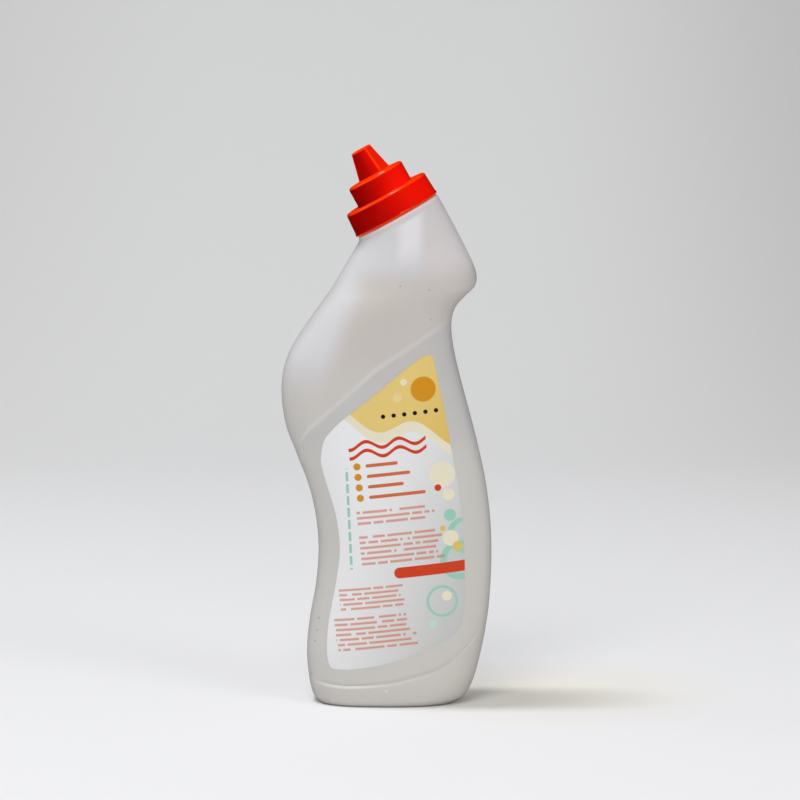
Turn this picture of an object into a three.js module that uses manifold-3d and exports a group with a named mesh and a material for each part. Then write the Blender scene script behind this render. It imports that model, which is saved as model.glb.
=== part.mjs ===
// A squeezable duck-neck bottle of toilet cleaner, closed by a stepped screw cap.
// Millimetres, +Z up. X runs across the front, from the side the neck leans to (-X) to the chin (+X).
// -Y is the labelled front. The origin is on the floor under the middle of the bounding box.
import * as THREE from "three";
import { mergeVertices } from "three/addons/utils/BufferGeometryUtils.js";
import Module from "manifold-3d";

const wasm = await Module();
wasm.setup();

// Blow-moulded bottle
const WALL = 1.1; // side wall
const BASE_WALL = 1.6; // floor of the bottle
const FOOT_ROUND = 4; // radius round the foot, front and back
const FOOT_LAND = 4; // width of the ring it stands on
const PUSH_UP = 3.5; // how far the middle of the base is domed inwards
const FOOT_CORNER = 1; // fillet inside the foot's corner
const FOOT_CLEAR = 3; // height of the lowest full section of the walls
const FAN_HEIGHT = 216; // sections are level below this and swing towards the neck above it
const PANEL_RECESS = 1.3; // depth of the label panel
const PANEL_STEP = 7; // height over which the panel sinks in

// Side outlines seen from the front, from the foot up: [x, z]. Each ends at the neck's shoulder.
const LEFT_OUTLINE = [
  [-36, 0],
  [-39.4, 4.4],
  [-41.4, 13],
  [-42.5, 28],
  [-40.8, 45],
  [-37.6, 63],
  [-36.2, 82],
  [-37.7, 100],
  [-41.7, 117],
  [-48.2, 134],
  [-53.7, 149.5],
  [-56, 166],
  [-54, 180],
  [-48.6, 192.5],
  [-39.4, 206.3],
  [-29.4, 220.3],
  [-21.4, 233.8],
];
const RIGHT_OUTLINE = [
  [36, 0],
  [42, 3.6],
  [45.8, 10],
  [48.9, 20],
  [52.6, 37],
  [55, 55],
  [56, 77],
  [55.4, 97],
  [52.8, 118],
  [48.4, 138.5],
  [43.5, 157.5],
  [38.6, 176],
  [35.4, 191],
  [34.5, 202],
  [36.6, 210.8],
  [41.9, 217],
  [46.6, 221.6],
  [47.9, 226.5],
  [46.5, 232.6],
  [42.1, 242],
  [35.5, 254.8],
];
// Half of the depth, front to back, and how square the section is (2 is an ellipse), by height.
const HALF_DEPTHS = [
  [0, 27.8],
  [30, 28.2],
  [82, 27],
  [130, 27.4],
  [170, 28.2],
  [205, 27.8],
  [232, 26],
];
const SQUARENESS = [
  [0, 2.7],
  [90, 2.75],
  [170, 2.6],
  [215, 2.4],
  [245, 2.08],
];
// Edges of the recessed label panel on the front and back: [x, z], from left to right.
const PANEL_TOP = [
  [-50, 124],
  [-44.5, 139],
  [-42.3, 146],
  [-35.3, 155.8],
  [-24.5, 165.2],
  [-12, 175.3],
  [7, 190],
  [25.5, 202.2],
  [38, 210],
];
const PANEL_FOOT = [
  [-46, 14],
  [-36, 11.4],
  [-24, 10],
  [-8, 10.8],
  [4, 12.4],
  [15, 15.2],
  [25, 18.4],
  [34, 23.4],
  [44, 32],
  [52, 41],
];

// Neck: distances along it are measured from the plane of the closed cap's rim.
const NECK_TILT = THREE.MathUtils.degToRad(29);
const RIM_CENTRE = [5.5, 259.8]; // x and z of the neck's axis at that plane
const SHOULDER_RADIUS = 24; // the bottle's round shoulder under the cap
const SHOULDER_ROUND = 1.6;
const SHOULDER_GAP = 1; // shoulder to the cap's rim
const NECK_RADIUS = 20.1; // root of the thread
const NECK_BORE_RADIUS = 17.6;
const NECK_HEIGHT = 9.2; // shoulder to the sealing land
const LAND_CHAMFER = 0.5; // round the outer edge of the sealing land
const THREAD_PITCH = 4;
const THREAD_DEPTH = 1;
const THREAD_WIDTH = 1.6; // at its root
const THREAD_BITE = 0.35; // how far the ridge's root reaches into its wall
const THREAD_CLEARANCE = 0.4; // crest to root, between the neck and the cap
const NECK_THREAD_TURNS = 1.25;
const CAP_THREAD_TURNS = 1;
const CAP_THREAD_FROM = 0.42; // in turns, so that the cap's thread starts just inside its rim
const THREAD_START = 2.7; // shoulder to the middle of the lowest thread

// Nozzle insert, sealing ring and cap
const FIT = 0.3; // gap between pieces that seat on each other
const FLANGE = 1.2; // thickness of the insert's flange
const FLANGE_INSET = 0.2; // its edge, inside the neck's
const PLUG_DEPTH = 7; // how far its skirt reaches down the neck
const PLUG_WALL = 1.2;
const PLUG_LEAD = 1; // height of the chamfer that guides the skirt in
const SPOUT_FOOT_RADIUS = 6;
const SPOUT_FILLET = 1.5;
const SPOUT_LIP = 2; // height of the steeper taper at its tip
const SPOUT_TIP_RADIUS = 2.6;
const SPOUT_BORE = 1.6; // radius of the pouring hole
const RING_THICKNESS = 1;
const RING_HOLE_RADIUS = 15.4;
const CAP_WALL = 1.5;
const SKIRT_WALL = 1.9; // at the top of the wide ring, outside the thread's root
const SKIRT_DRAFT = 0.95; // how much wider the ring is at its rim
const RIM_CHAMFER = 0.4;
const CAP_BEAD = 1.3; // height of the lip round the rim
const BEAD_STEP = 0.35; // how far it stands out
const CAP_ROUND = 1.5; // on the edges of the two round steps
const MIDDLE_RADIUS = 15.8;
const MIDDLE_HEIGHT = 11.4;
const TOP_HEIGHT = 15.4;
const TOP_FOOT_WIDTH = 14.8; // the tapered square top, across its flats
const TOP_TIP_WIDTH = 9.2;
const TOP_TURN = THREE.MathUtils.degToRad(-20); // how the square stands about the axis
const TOP_CORNER = 1.8; // radius of the square's edges
const HOLLOW_CORNER = 1.2; // radius of the hollow's edges inside it
const TOP_SKIN = 2.1; // thickness over the hollow in the square top
const SPOUT_CLEAR = 1.4; // spout's tip to the roof of that hollow
const PIN_RADIUS = 1.2; // closes the pouring hole
const PIN_DEPTH = 3; // how far it reaches into that hole
const PIN_TAPER = 0.4;

// Label and contents
const LABEL_THICKNESS = 0.25;
const GEL_LEVEL = 225; // leaves the usual air over 850 ml
const GEL_GAP = 0.3;
// The label's edges, [x, z] from its foot up, with a shared point at each end.
const LABEL_LEFT = [
  [-20, 20.2],
  [-28.5, 20.5],
  [-31, 25],
  [-31.4, 34],
  [-30.3, 47],
  [-26.5, 67],
  [-24.6, 84],
  [-26.4, 101],
  [-31, 117],
  [-33.6, 126],
  [-34.5, 132.5],
  [-32.8, 142],
  [-28.4, 147.9],
  [-22.4, 153.8],
  [-9, 164.2],
  [7.1, 177.8],
  [16, 184.4],
  [20.9, 187.1],
  [23, 187.5],
];
const LABEL_RIGHT = [
  [-20, 20.2],
  [-6, 22.2],
  [10, 26.6],
  [25, 32.6],
  [35.5, 38.4],
  [40.3, 46],
  [41.5, 64],
  [41, 88],
  [38.7, 112],
  [34.6, 136],
  [30.2, 160],
  [27, 175],
  [25.1, 183.6],
  [24.4, 186.4],
  [23, 187.5],
];

// Fineness of the solids
const AROUND = 36; // facets round the bottle
const ROUND = 36; // facets round the neck, insert, ring and cap
const LONGEST_ROW = 10; // between the bottle's sections, along its side
const SHARPEST_ROW = THREE.MathUtils.degToRad(20); // most that its side turns between them
const OUTLINE_POINTS = 400;
const LABEL_POINTS = 22;
const THREAD_STEPS = 28; // in a turn
const OVERLAP = 1; // how far solids reach into each other before they are joined or cut

const neckAxis = new THREE.Vector2(-Math.sin(NECK_TILT), Math.cos(NECK_TILT));
const neckAcross = new THREE.Vector2(Math.cos(NECK_TILT), Math.sin(NECK_TILT));
const rimCentre = new THREE.Vector2(...RIM_CENTRE);
const shoulderTop = -SHOULDER_GAP;
const landHeight = shoulderTop + NECK_HEIGHT;
const capThreadRadius = NECK_RADIUS + THREAD_DEPTH + THREAD_CLEARANCE;
const capSkirtTopRadius = capThreadRadius + SKIRT_WALL;
const capRimRadius = capSkirtTopRadius + SKIRT_DRAFT;
const flangeFoot = landHeight + FIT;
const flangeTop = flangeFoot + FLANGE;
const ringFoot = flangeTop + FIT;
const ringTop = ringFoot + RING_THICKNESS;
const capInnerTop = ringTop + FIT; // underside of the cap's wide step
const capStep = capInnerTop + CAP_WALL;
const middleTop = capStep + MIDDLE_HEIGHT;
const capTop = middleTop + TOP_HEIGHT;
const cavityTop = capTop - TOP_SKIN;
const spoutTip = cavityTop - SPOUT_CLEAR;
const neckThreadStart = shoulderTop + THREAD_START;
const capThreadStart = neckThreadStart - THREAD_PITCH / 2;

// x and z of a point at a distance along the neck and across it.
function onNeck(along, across = 0) {
  return rimCentre
    .clone()
    .addScaledVector(neckAxis, along)
    .addScaledVector(neckAcross, across);
}

// A smooth value by height from a few [height, value] pairs.
function profile(pairs) {
  return (z) => {
    const last = pairs.length - 1;
    if (z <= pairs[0][0]) return pairs[0][1];
    if (z >= pairs[last][0]) return pairs[last][1];
    const i = pairs.findIndex(([at]) => at > z) - 1;
    const t = (z - pairs[i][0]) / (pairs[i + 1][0] - pairs[i][0]);
    return THREE.MathUtils.lerp(pairs[i][1], pairs[i + 1][1], t * t * (3 - 2 * t));
  };
}

function smooth(points, count) {
  const knots = points.map((p) => (p.isVector2 ? p : new THREE.Vector2(...p)));
  return new THREE.SplineCurve(knots).getPoints(count);
}

// Where a fine outline crosses the line through a point at an angle above the horizontal.
function crossing(outline, through, angle) {
  const side = (p) => (p.y - through.y) * Math.cos(angle) - (p.x - through.x) * Math.sin(angle);
  for (let i = 1; i < outline.length; i++) {
    const before = side(outline[i - 1]);
    const after = side(outline[i]);
    if (before <= 0 && after >= 0) {
      const t = after === before ? 0 : before / (before - after);
      return outline[i - 1].clone().lerp(outline[i], t);
    }
  }
  return side(outline[0]) > 0 ? outline[0].clone() : outline[outline.length - 1].clone();
}

const shoulderRow = shoulderTop - SHOULDER_ROUND;
const leftOutline = smooth([...LEFT_OUTLINE, onNeck(shoulderRow, -SHOULDER_RADIUS)], OUTLINE_POINTS);
const rightOutline = smooth([...RIGHT_OUTLINE, onNeck(shoulderRow, SHOULDER_RADIUS)], OUTLINE_POINTS);
const halfDepthAt = profile(HALF_DEPTHS);
const squarenessAt = profile(SQUARENESS);

// All swinging sections meet the level one on this line, outside the bottle on the neck's side.
const shoulderCentre = onNeck(shoulderRow);
const swingRun = (shoulderCentre.y - FAN_HEIGHT) / Math.sin(NECK_TILT);
const pivot = shoulderCentre.clone().addScaledVector(neckAcross, -swingRun);

// The plane of the bottle's section through a point of its right outline.
function planeThrough(point) {
  const swings = point.y > FAN_HEIGHT;
  const angle = swings ? Math.atan2(point.y - pivot.y, point.x - pivot.x) : 0;
  return { through: swings ? pivot : point, angle };
}

// One section of the bottle: its middle, tilt, half width, half depth and squareness.
function sectionOn({ through, angle }) {
  const left = crossing(leftOutline, through, angle);
  const right = crossing(rightOutline, through, angle);
  const middle = left.clone().lerp(right, 0.5);
  const share = THREE.MathUtils.clamp(angle / NECK_TILT, 0, 1);
  const swing = share * share * (3 - 2 * share);
  const foot = THREE.MathUtils.clamp(1 - middle.y / FOOT_ROUND, 0, 1);
  const footInset = FOOT_ROUND * (1 - Math.sqrt(1 - foot * foot));
  const depth = THREE.MathUtils.lerp(halfDepthAt(middle.y), SHOULDER_RADIUS, swing) - footInset;
  const square = THREE.MathUtils.lerp(squarenessAt(middle.y), 2, swing);
  return { middle, angle, half: left.distanceTo(right) / 2, depth, square };
}

// Sections up the bottle, closer where the right outline turns.
function sectionsUp() {
  const rows = [sectionOn(planeThrough(rightOutline[0]))];
  let run = 0;
  let turn = 0;
  for (let i = 1; i < rightOutline.length - 1; i++) {
    const before = rightOutline[i].clone().sub(rightOutline[i - 1]);
    const after = rightOutline[i + 1].clone().sub(rightOutline[i]);
    run += before.length();
    turn += Math.abs(Math.atan2(before.cross(after), before.dot(after)));
    if (run > LONGEST_ROW || turn > SHARPEST_ROW) {
      rows.push(sectionOn(planeThrough(rightOutline[i])));
      run = 0;
      turn = 0;
    }
  }
  rows.push(sectionOn({ through: pivot, angle: NECK_TILT }));
  return rows;
}

const bodySections = sectionsUp();

function edgeHeight(edge) {
  const fine = smooth(edge, 60);
  return (x) => {
    const i = fine.findIndex((p) => p.x > x);
    if (i <= 0) return i === 0 ? fine[0].y : fine[fine.length - 1].y;
    const t = (x - fine[i - 1].x) / (fine[i].x - fine[i - 1].x);
    return THREE.MathUtils.lerp(fine[i - 1].y, fine[i].y, t);
  };
}
const panelTopAt = edgeHeight(PANEL_TOP);
const panelFootAt = edgeHeight(PANEL_FOOT);

// How deep the label panel is sunk at a place on the front or back; it fades out towards the sides.
function recessAt(x, z, across) {
  const below = THREE.MathUtils.smoothstep(panelTopAt(x) - z, 0, PANEL_STEP);
  const above = THREE.MathUtils.smoothstep(z - panelFootAt(x), 0, PANEL_STEP);
  const inside = 1 - THREE.MathUtils.smoothstep(Math.abs(across), 0.8, 1);
  return PANEL_RECESS * below * above * inside;
}

function power(value, exponent) {
  return Math.sign(value) * Math.abs(value) ** exponent;
}

// A closed ring of points round one section, drawn in by an inset.
function ringOf(row, inset, count) {
  const points = [];
  for (let i = 0; i < count; i++) {
    const turn = (i / count) * Math.PI * 2;
    const across = power(Math.cos(turn), 2 / row.square);
    const deep = power(Math.sin(turn), 2 / row.square);
    const u = across * (row.half - inset);
    const x = row.middle.x + u * Math.cos(row.angle);
    const z = row.middle.y + u * Math.sin(row.angle);
    const sunk = recessAt(x, z, across) * Math.abs(deep) ** 0.5;
    const y = deep * (row.depth - inset) - Math.sign(deep) * sunk;
    points.push(new THREE.Vector3(x, y, z));
  }
  return points;
}

// A round ring on the neck.
function neckRing(radius, along, count) {
  const middle = onNeck(along);
  return ringOf({ middle, angle: NECK_TILT, half: radius, depth: radius, square: 2 }, 0, count);
}

// A closed solid from rings of equal count, ending in a point at each end.
function skinOf(rings, first, last) {
  const count = rings[0].length;
  const points = [first, ...rings.flat(), last];
  const faces = [];
  const at = (ring, i) => 1 + ring * count + (i % count);
  for (let i = 0; i < count; i++) {
    faces.push(0, at(0, i + 1), at(0, i));
    for (let ring = 0; ring < rings.length - 1; ring++) {
      faces.push(at(ring, i), at(ring, i + 1), at(ring + 1, i));
      faces.push(at(ring, i + 1), at(ring + 1, i + 1), at(ring + 1, i));
    }
    faces.push(at(rings.length - 1, i), at(rings.length - 1, i + 1), points.length - 1);
  }
  const geometry = new THREE.BufferGeometry().setFromPoints(points);
  geometry.setIndex(faces);
  return geometry;
}

function solidFrom(geometry) {
  const bare = geometry.clone();
  bare.deleteAttribute("normal");
  bare.deleteAttribute("uv");
  const merged = mergeVertices(bare, 1e-4);
  return new wasm.Manifold(
    new wasm.Mesh({
      numProp: 3,
      vertProperties: merged.attributes.position.array,
      triVerts: new Uint32Array(merged.index.array),
    }),
  );
}

function geometryFrom(solid) {
  const mesh = solid.getMesh();
  const geometry = new THREE.BufferGeometry();
  geometry.setAttribute("position", new THREE.BufferAttribute(mesh.vertProperties, 3));
  geometry.setIndex(new THREE.BufferAttribute(mesh.triVerts, 1));
  geometry.computeVertexNormals();
  return geometry;
}

// Puts a solid that was made about the local Z axis onto the neck.
function ontoNeck(geometry) {
  const place = new THREE.Matrix4().makeRotationY(-NECK_TILT);
  place.setPosition(rimCentre.x, 0, rimCentre.y);
  return geometry.applyMatrix4(place);
}

// The three points of a rounded outer edge, as [radius, height], going inwards.
function roundedEdge(radius, height, size) {
  const ease = size * (1 - Math.SQRT1_2);
  return [
    [radius, height - size],
    [radius - ease, height - ease],
    [radius - size, height],
  ];
}

// A body of revolution about the local Z axis, from [radius, height] points.
function turned(points) {
  const lathe = new THREE.LatheGeometry(points.map((p) => new THREE.Vector2(p[0], p[1])), ROUND);
  return lathe.rotateX(Math.PI / 2);
}

// One helical ridge about the local Z axis, from a wall radius inwards (depth under 0) or outwards.
function threadRidge(wall, depth, start, from, turns) {
  const steps = Math.round(turns * THREAD_STEPS);
  const root = wall - Math.sign(depth) * THREAD_BITE;
  const rings = [];
  for (let i = 0; i <= steps; i++) {
    const turn = (from + i / THREAD_STEPS) * Math.PI * 2;
    const rise = start + THREAD_PITCH * (turn / (Math.PI * 2));
    const fade = THREE.MathUtils.smoothstep(Math.min(i, steps - i), -0.6, 3);
    const crest = wall + depth * fade;
    const profileRing = [
      [root, -THREAD_WIDTH / 2],
      [crest, -THREAD_WIDTH / 5],
      [crest, THREAD_WIDTH / 5],
      [root, THREAD_WIDTH / 2],
    ];
    if (depth < 0) profileRing.reverse();
    rings.push(
      profileRing.map(([r, h]) => new THREE.Vector3(r * Math.cos(turn), r * Math.sin(turn), rise + h)),
    );
  }
  const middleOf = (ring) => ring[0].clone().add(ring[1]).add(ring[2]).add(ring[3]).divideScalar(4);
  return skinOf(rings, middleOf(rings[0]), middleOf(rings[rings.length - 1]));
}

// One skin of the bottle as a solid, from its domed base up to the shoulder under the neck.
function bodySolid(inset, floor) {
  const standing = sectionOn(planeThrough(rightOutline[0]));
  const landed = floor > 0 ? sectionOn({ through: new THREE.Vector2(0, floor), angle: 0 }) : standing;
  const dome = ringOf(standing, FOOT_LAND * 3, AROUND);
  dome.forEach((p) => (p.z = floor + PUSH_UP * 0.8));
  const above = bodySections.filter((row) => row.middle.y > FOOT_CLEAR && row.angle < NECK_TILT);
  const shoulder = roundedEdge(SHOULDER_RADIUS - inset, shoulderTop - inset, SHOULDER_ROUND);
  const rings = [
    dome,
    ringOf(landed, FOOT_LAND + inset, AROUND),
    ringOf(landed, floor > 0 ? inset + FOOT_CORNER : 0, AROUND),
    ...above.map((row) => ringOf(row, inset, AROUND)),
    ...shoulder.map(([radius, along]) => neckRing(radius, along, AROUND)),
  ];
  const top = onNeck(shoulderTop - inset);
  const baseMiddle = new THREE.Vector3(standing.middle.x, 0, floor + PUSH_UP);
  return solidFrom(skinOf(rings, baseMiddle, new THREE.Vector3(top.x, 0, top.y)));
}

function makeBottle() {
  const rooted = shoulderTop - WALL - OVERLAP;
  const neck = turned([
    [0, rooted],
    [NECK_RADIUS, rooted],
    [NECK_RADIUS, landHeight - LAND_CHAMFER],
    [NECK_RADIUS - LAND_CHAMFER, landHeight],
    [0, landHeight],
  ]);
  const bore = turned([
    [0, rooted - OVERLAP],
    [NECK_BORE_RADIUS, rooted - OVERLAP],
    [NECK_BORE_RADIUS, landHeight + OVERLAP],
    [0, landHeight + OVERLAP],
  ]);
  const ridge = threadRidge(NECK_RADIUS, THREAD_DEPTH, neckThreadStart, 0, NECK_THREAD_TURNS);
  const shell = bodySolid(0, 0)
    .add(solidFrom(ontoNeck(neck)))
    .add(solidFrom(ontoNeck(ridge)))
    .subtract(bodySolid(WALL, BASE_WALL))
    .subtract(solidFrom(ontoNeck(bore)));
  return geometryFrom(shell);
}

// The contents: the space inside the bottle, less a hair's gap to the wall, up to the fill level.
function makeGel() {
  const reach = 400;
  const air = new THREE.BoxGeometry(reach, reach, reach).translate(0, 0, GEL_LEVEL + reach / 2);
  return geometryFrom(bodySolid(WALL + GEL_GAP, BASE_WALL + GEL_GAP).subtract(solidFrom(air)));
}

function makeNozzleInsert() {
  const plugRadius = NECK_BORE_RADIUS - FIT;
  const plugFoot = landHeight - PLUG_DEPTH;
  const flangeEdge = NECK_RADIUS - FLANGE_INSET;
  const boreFoot = SPOUT_FOOT_RADIUS - PLUG_WALL;
  return turned([
    [boreFoot, flangeFoot],
    [plugRadius - PLUG_WALL, flangeFoot],
    [plugRadius - PLUG_WALL, plugFoot],
    [plugRadius - PLUG_LEAD / 3, plugFoot],
    [plugRadius, plugFoot + PLUG_LEAD],
    [plugRadius, flangeFoot],
    [flangeEdge, flangeFoot],
    [flangeEdge, flangeTop],
    [SPOUT_FOOT_RADIUS + SPOUT_FILLET, flangeTop],
    [SPOUT_FOOT_RADIUS, flangeTop + SPOUT_FILLET],
    [SPOUT_TIP_RADIUS + SPOUT_LIP / 4, spoutTip - SPOUT_LIP],
    [SPOUT_TIP_RADIUS, spoutTip],
    [SPOUT_BORE, spoutTip],
    [SPOUT_BORE, spoutTip - PIN_DEPTH * 2],
    [boreFoot, flangeFoot],
  ]);
}

function makeSealingRing() {
  const outer = capThreadRadius - FIT;
  return turned([
    [RING_HOLE_RADIUS, ringFoot],
    [outer, ringFoot],
    [outer, ringTop],
    [RING_HOLE_RADIUS, ringTop],
    [RING_HOLE_RADIUS, ringFoot],
  ]);
}

// A tapering square post with round corners about the local Z axis.
function squarePost(footWidth, tipWidth, from, to, corner) {
  const sides = 4;
  const cornerSteps = 4;
  const ringAt = (width, z) => {
    const points = [];
    const radius = Math.min(corner, width * 0.4);
    const reach = (width / 2 - radius) * Math.SQRT2;
    for (let side = 0; side < sides; side++) {
      const start = (side * Math.PI) / 2;
      const diagonal = start + Math.PI / 4;
      for (let i = 0; i <= cornerSteps; i++) {
        const a = start + ((i / cornerSteps) * Math.PI) / 2;
        const x = reach * Math.cos(diagonal) + radius * Math.cos(a);
        const y = reach * Math.sin(diagonal) + radius * Math.sin(a);
        points.push(new THREE.Vector3(x, y, z));
      }
    }
    return points;
  };
  const rings = [ringAt(footWidth, from), ringAt(tipWidth, to)];
  const post = skinOf(rings, new THREE.Vector3(0, 0, from), new THREE.Vector3(0, 0, to));
  return post.rotateZ(TOP_TURN);
}

// Width of the square top, or of its hollow, at a height.
function topWidthAt(height, wall = 0) {
  const share = (height - middleTop) / TOP_HEIGHT;
  return THREE.MathUtils.lerp(TOP_FOOT_WIDTH, TOP_TIP_WIDTH, share) - 2 * wall;
}

function makeCap() {
  const outside = turned([
    [0, 0],
    [capRimRadius - RIM_CHAMFER, 0],
    [capRimRadius, RIM_CHAMFER],
    [capRimRadius, CAP_BEAD],
    [capRimRadius - BEAD_STEP, CAP_BEAD + BEAD_STEP],
    ...roundedEdge(capSkirtTopRadius, capStep, CAP_ROUND),
    [MIDDLE_RADIUS, capStep],
    ...roundedEdge(MIDDLE_RADIUS, middleTop, CAP_ROUND),
    [0, middleTop],
  ]);
  const inside = turned([
    [0, -OVERLAP],
    [capThreadRadius, -OVERLAP],
    [capThreadRadius, capInnerTop],
    [MIDDLE_RADIUS - CAP_WALL, capInnerTop],
    [MIDDLE_RADIUS - CAP_WALL, middleTop - CAP_WALL],
    [0, middleTop - CAP_WALL],
  ]);
  const topRoot = middleTop - OVERLAP;
  const top = squarePost(topWidthAt(topRoot), TOP_TIP_WIDTH, topRoot, capTop, TOP_CORNER);
  const hollowFoot = middleTop - CAP_WALL - OVERLAP;
  const hollow = squarePost(
    topWidthAt(hollowFoot, CAP_WALL),
    topWidthAt(cavityTop, CAP_WALL),
    hollowFoot,
    cavityTop,
    HOLLOW_CORNER,
  );
  const pinFoot = spoutTip - PIN_DEPTH;
  const pinRoot = cavityTop + TOP_SKIN / 4;
  const pin = turned([
    [0, pinFoot],
    [PIN_RADIUS - PIN_TAPER, pinFoot],
    [PIN_RADIUS, pinFoot + PIN_TAPER],
    [PIN_RADIUS, pinRoot],
    [0, pinRoot],
  ]);
  const ridge = threadRidge(
    capThreadRadius,
    -THREAD_DEPTH,
    capThreadStart,
    CAP_THREAD_FROM,
    CAP_THREAD_TURNS,
  );
  const shell = solidFrom(outside)
    .add(solidFrom(top))
    .subtract(solidFrom(inside))
    .subtract(solidFrom(hollow))
    .add(solidFrom(pin))
    .add(solidFrom(ridge));
  return geometryFrom(shell);
}

// The label: a thin skin that follows the front of the bottle, inside its own outline.
function makeLabel() {
  const left = smooth(LABEL_LEFT, LABEL_POINTS);
  const right = smooth(LABEL_RIGHT, LABEL_POINTS).reverse().slice(1, -1);
  const outline = new THREE.Shape([...left, ...right]);
  const reach = 60;
  const stamp = new THREE.ExtrudeGeometry(outline, { depth: reach, bevelEnabled: false });
  stamp.rotateX(Math.PI / 2);
  const skin = bodySolid(-FIT - LABEL_THICKNESS, 0).intersect(solidFrom(stamp));
  return geometryFrom(skin.subtract(bodySolid(-FIT, 0)));
}

const materials = {
  bottle: new THREE.MeshStandardMaterial({ color: 0xdcdad6, roughness: 0.45, metalness: 0 }),
  gel: new THREE.MeshStandardMaterial({ color: 0xd8d6cf, roughness: 0.15, metalness: 0 }),
  insert: new THREE.MeshStandardMaterial({ color: 0xf2f1ec, roughness: 0.4, metalness: 0 }),
  ring: new THREE.MeshStandardMaterial({ color: 0xf5f4f0, roughness: 0.8, metalness: 0 }),
  cap: new THREE.MeshStandardMaterial({ color: 0xe81500, roughness: 0.25, metalness: 0 }),
  label: new THREE.MeshStandardMaterial({ color: 0xf3f3f3, roughness: 0.5, metalness: 0 }),
};

function named(name, geometry, material) {
  const mesh = new THREE.Mesh(geometry, material);
  mesh.name = name;
  return mesh;
}

const bottle = new THREE.Group();
bottle.add(
  named("bottle", makeBottle(), materials.bottle),
  named("gel_contents", makeGel(), materials.gel),
  named("front_label", makeLabel(), materials.label),
);

const closure = new THREE.Group();
closure.add(
  named("nozzle_insert", makeNozzleInsert(), materials.insert),
  named("sealing_ring", makeSealingRing(), materials.ring),
  named("cap", makeCap(), materials.cap),
);
closure.rotation.y = -NECK_TILT;
closure.position.set(rimCentre.x, 0, rimCentre.y);
bottle.add(closure);

// The origin lies under the middle of the whole.
const bounds = new THREE.Box3().setFromObject(bottle, true);
bottle.position.x = -(bounds.min.x + bounds.max.x) / 2;

export default bottle;
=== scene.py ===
import math

import bpy
import numpy as np
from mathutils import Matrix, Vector


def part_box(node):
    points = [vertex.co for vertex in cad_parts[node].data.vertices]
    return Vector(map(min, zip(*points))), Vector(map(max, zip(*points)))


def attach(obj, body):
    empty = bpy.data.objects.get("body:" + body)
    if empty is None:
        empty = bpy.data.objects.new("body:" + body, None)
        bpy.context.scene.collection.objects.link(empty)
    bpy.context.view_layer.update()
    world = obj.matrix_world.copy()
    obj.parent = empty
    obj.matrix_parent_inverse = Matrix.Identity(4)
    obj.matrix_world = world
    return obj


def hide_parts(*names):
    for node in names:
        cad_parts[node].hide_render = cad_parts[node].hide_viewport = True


# Looks for a squeezable duck-neck bottle of toilet cleaner with a stepped red screw cap.
# Shapes are worked out in millimetres, in the frame's own axes, and turned into metres as meshes.

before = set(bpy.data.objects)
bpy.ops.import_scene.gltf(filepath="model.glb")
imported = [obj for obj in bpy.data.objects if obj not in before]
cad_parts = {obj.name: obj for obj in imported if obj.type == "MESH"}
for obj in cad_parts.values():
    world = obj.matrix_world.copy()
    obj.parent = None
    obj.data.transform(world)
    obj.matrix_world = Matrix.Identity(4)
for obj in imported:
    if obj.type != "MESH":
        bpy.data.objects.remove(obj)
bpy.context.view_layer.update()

MM = 0.001

# Bottle, as its solid: outlines seen from the front are [x, z], from the foot up
WALL = 1.1
BASE_WALL = 1.6
FOOT_ROUND = 4
FOOT_LAND = 4
PUSH_UP = 3.5
DOME_FLAT = 0.35
FAN_HEIGHT = 216
PANEL_RECESS = 1.3
PANEL_STEP = 3.4
PANEL_FOOT_STEP = 1.5
GROOVE_DEPTH = 0.4
GROOVE_WIDTH = 0.7
LEFT_OUTLINE = [
    (-36, 0), (-39.4, 4.4), (-41.4, 13), (-42.5, 28), (-40.8, 45), (-37.6, 63), (-36.2, 82),
    (-37.7, 100), (-41.7, 117), (-48.2, 134), (-53.7, 149.5), (-55.7, 166), (-54, 180), (-48.6, 192.5),
    (-39.4, 206.3), (-29.4, 220.3), (-21.4, 233.8),
]
RIGHT_OUTLINE = [
    (36, 0), (42, 3.6), (45.8, 10), (48.9, 20), (52.6, 37), (55, 55), (56, 77), (55.4, 97),
    (52.8, 118), (48.4, 138.5), (43.5, 157.5), (38.6, 176), (35.4, 191), (34.5, 202), (36.6, 210.8),
    (41.9, 217), (46.6, 221.6), (47.9, 226.5), (46.5, 232.6), (42.1, 242), (35.5, 254.8),
]
HALF_DEPTHS = [(0, 27.8), (30, 28.1), (82, 27), (130, 27.4), (170, 28.1), (205, 27.7), (232, 26)]
SQUARENESS = [(0, 2.7), (90, 2.75), (170, 2.6), (215, 2.4), (245, 2.08)]
PANEL_TOP = [
    (-50, 124), (-44.5, 139), (-42.3, 146), (-35.3, 155.8), (-24.5, 165.2), (-12, 175.3), (7, 190),
    (25.5, 202.2), (38, 210),
]
PANEL_FOOT = [
    (-46, 14), (-36, 11.4), (-24, 10), (-8, 10.8), (4, 12.4), (15, 15.2), (25, 18.4), (34, 23.4),
    (44, 32), (52, 41),
]

# Neck: heights are measured along the neck from the plane of the closed cap's rim
NECK_TILT = math.radians(29)
RIM_CENTRE = np.array((5.5, 259.8))
SHOULDER_RADIUS = 24
SHOULDER_ROUND = 1.6
SHOULDER_TOP = -1
SHOULDER_LIP = 0.8
NECK_RADIUS = 20.1
NECK_BORE_RADIUS = 17.6
NECK_ROOT = 0.6
LAND_HEIGHT = SHOULDER_TOP + 9.2
LAND_CHAMFER = 0.5
THREAD_PITCH = 4
THREAD_DEPTH = 1
THREAD_WIDTH = 1.6
NECK_THREAD_START = SHOULDER_TOP + 2.7
NECK_THREAD_TURNS = 1.25
FIT = 0.3

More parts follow.
